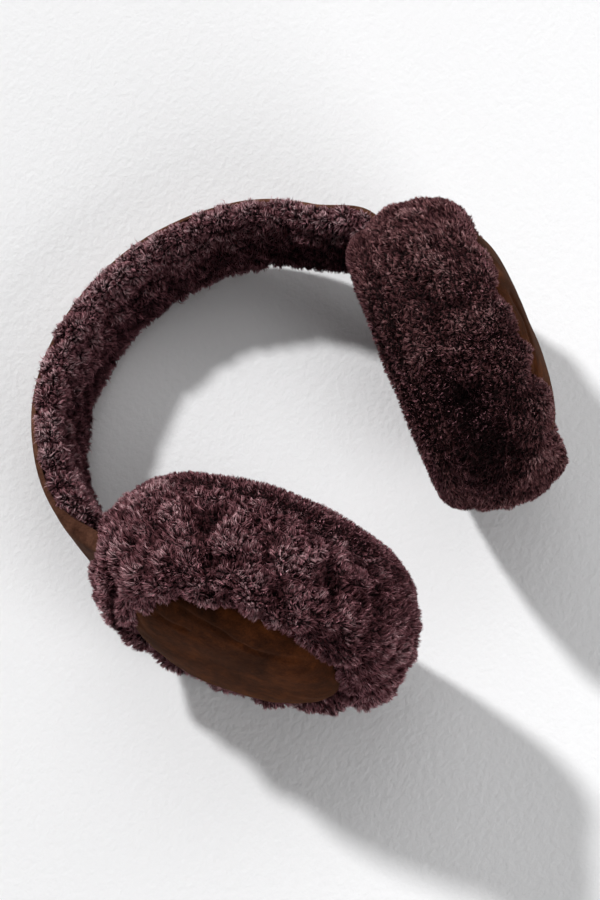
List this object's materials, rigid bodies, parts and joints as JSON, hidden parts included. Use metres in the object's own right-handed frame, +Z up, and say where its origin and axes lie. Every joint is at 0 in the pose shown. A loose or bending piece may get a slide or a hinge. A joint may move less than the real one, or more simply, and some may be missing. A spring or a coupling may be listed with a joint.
{
  "type": "fur earmuffs",
  "caption": "Fur earmuffs lying at rest: fur-lined suede headband ending in padded fur cups, each with a suede dome outside and a fur ear pad inside.",
  "frame": {"origin": "on the floor under the middle of the whole object as it lies", "axes": "+Z up from the floor, +X from the left cup to the right cup, +Y towards the crown of the headband"},
  "size_m": [0.1716, 0.1632, 0.101],
  "materials": {
    "fur": "deep matt curly fur",
    "suede": "matt napped suede"
  },
  "bodies": {
    "root": {"headband_strap": "suede", "headband_fur": "fur", "left_cup_rim": "fur", "left_cup_dome": "suede", "left_ear_pad": "fur", "right_cup_rim": "fur", "right_cup_dome": "suede", "right_ear_pad": "fur"}
  },
  "joints": []
}
